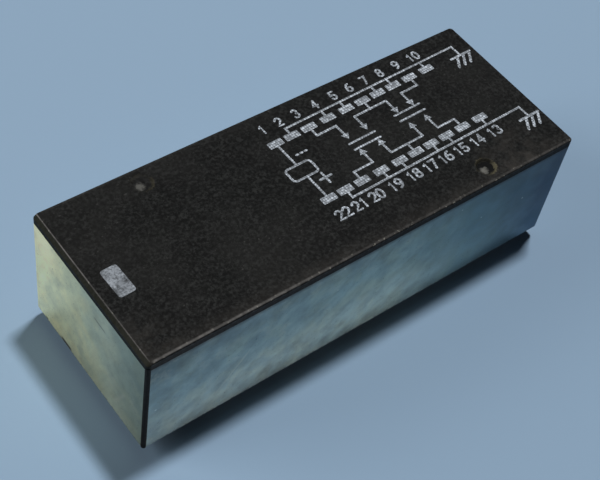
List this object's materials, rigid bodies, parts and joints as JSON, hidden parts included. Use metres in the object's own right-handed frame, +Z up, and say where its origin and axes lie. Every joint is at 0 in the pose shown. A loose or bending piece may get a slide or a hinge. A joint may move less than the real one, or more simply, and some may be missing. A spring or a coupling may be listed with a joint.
{
  "type": "pcb power relay",
  "caption": "Sealed two-pole circuit board relay: black moulded cover, metal band round the sides, pins in two rows, pivoting armature and sliding contact carriers.",
  "frame": {"origin": "middle of the body's plan, in the plane of the pin tips", "axes": "+X along the body from the coil pins to the free end, +Y towards the rear row of pins, +Z up"},
  "size_m": [0.035, 0.0132, 0.0106],
  "materials": {
    "case_black": "matt black moulded plastic, finely textured, worn along its edges",
    "shield_metal": "satin nickel silver sheet, slightly mottled by handling",
    "base_plastic": "dark moulded plastic",
    "sealing_resin": "poured epoxy, smooth and glossy",
    "tinned_pins": "stamped copper alloy with a dull tin coat",
    "bobbin_plastic": "ivory moulded plastic",
    "enamelled_copper": "fine enamelled copper wire",
    "soft_iron": "nickel-plated soft iron",
    "pivot_steel": "bright turned steel",
    "magnet_grey": "dark sintered magnet",
    "holder_plastic": "dark green moulded plastic",
    "carrier_plastic": "off-white moulded plastic",
    "contact_silver": "silver-clad spring strip"
  },
  "bodies": {
    "relay_body": {"case_cover": "case_black", "shield_band": "shield_metal", "base_plate": "base_plastic", "sealing_resin": "sealing_resin", "coil_bobbin": "bobbin_plastic", "coil_winding": "enamelled_copper", "iron_core": "soft_iron", "front_coil_lead": "enamelled_copper", "rear_coil_lead": "enamelled_copper", "coil_terminal_1": "tinned_pins", "coil_terminal_22": "tinned_pins", "signal_terminal_3": "tinned_pins", "signal_terminal_6": "tinned_pins", "signal_terminal_9": "tinned_pins", "signal_terminal_14": "tinned_pins", "signal_terminal_17": "tinned_pins", "signal_terminal_20": "tinned_pins", "front_ground_frame": "tinned_pins", "rear_ground_frame": "tinned_pins", "pivot_pin": "pivot_steel"},
    "armature": {"armature_holder": "holder_plastic", "front_armature_plate": "soft_iron", "rear_armature_plate": "soft_iron", "armature_magnet": "magnet_grey"},
    "left_carrier": {"left_contact_carrier": "carrier_plastic", "left_front_contact_bar": "contact_silver", "left_rear_contact_bar": "contact_silver"},
    "right_carrier": {"right_contact_carrier": "carrier_plastic", "right_front_contact_bar": "contact_silver", "right_rear_contact_bar": "contact_silver"}
  },
  "joints": [
    {"name": "armature_turn", "type": "hinge", "parent": "relay_body", "child": "armature", "pos_m": [0, 0, 0.005], "axis": [0, 0, 1], "range_deg": [0, 6], "stiffness_Nm_per_rad": 0.003, "springref_deg": -8.59},
    {"name": "left_carrier_slide", "type": "slide", "parent": "relay_body", "child": "left_carrier", "axis": [0, -1, 0], "range_m": [0, 0.0004]},
    {"name": "right_carrier_slide", "type": "slide", "parent": "relay_body", "child": "right_carrier", "axis": [0, 1, 0], "range_m": [0, 0.0004]}
  ],
  "couplings": [
    {"joint": "left_carrier_slide", "follows": "armature_turn", "m_per_rad": 0.003808},
    {"joint": "right_carrier_slide", "follows": "armature_turn", "m_per_rad": 0.003808}
  ]
}
